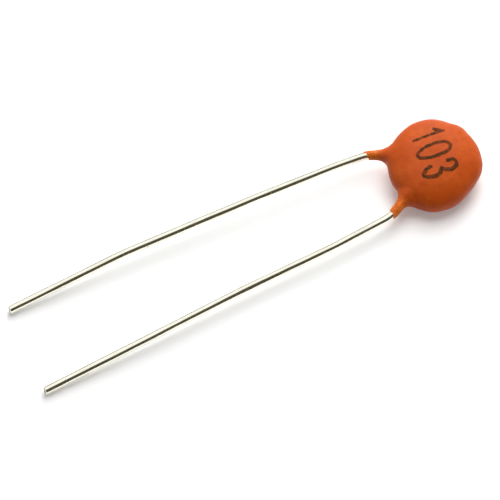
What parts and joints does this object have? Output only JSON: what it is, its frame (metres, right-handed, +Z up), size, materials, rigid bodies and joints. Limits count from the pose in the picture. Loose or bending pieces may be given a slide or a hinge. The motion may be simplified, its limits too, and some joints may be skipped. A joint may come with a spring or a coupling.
{
  "type": "ceramic disc capacitor",
  "caption": "Radial-lead ceramic disc capacitor: a small dipped orange disc with long straight tinned wires for through-hole mounting.",
  "frame": {"origin": "Under the middle of the whole part, on the surface it lies on", "axes": "+Z up, +X along the part from the lead tips to the disc, +Y across it towards the rear lead"},
  "size_m": [0.0294, 0.0062, 0.0025],
  "materials": {
    "resin": "satin dipped resin",
    "dielectric": "fired, matt",
    "silver_film": "fired silver",
    "solder": "dull",
    "tinned_wire": "bright tinned"
  },
  "bodies": {
    "root": {"coating": "resin", "ceramic_disc": "dielectric", "front_electrode": "silver_film", "rear_electrode": "silver_film", "front_solder": "solder", "rear_solder": "solder", "front_lead": "tinned_wire", "rear_lead": "tinned_wire"}
  },
  "joints": []
}
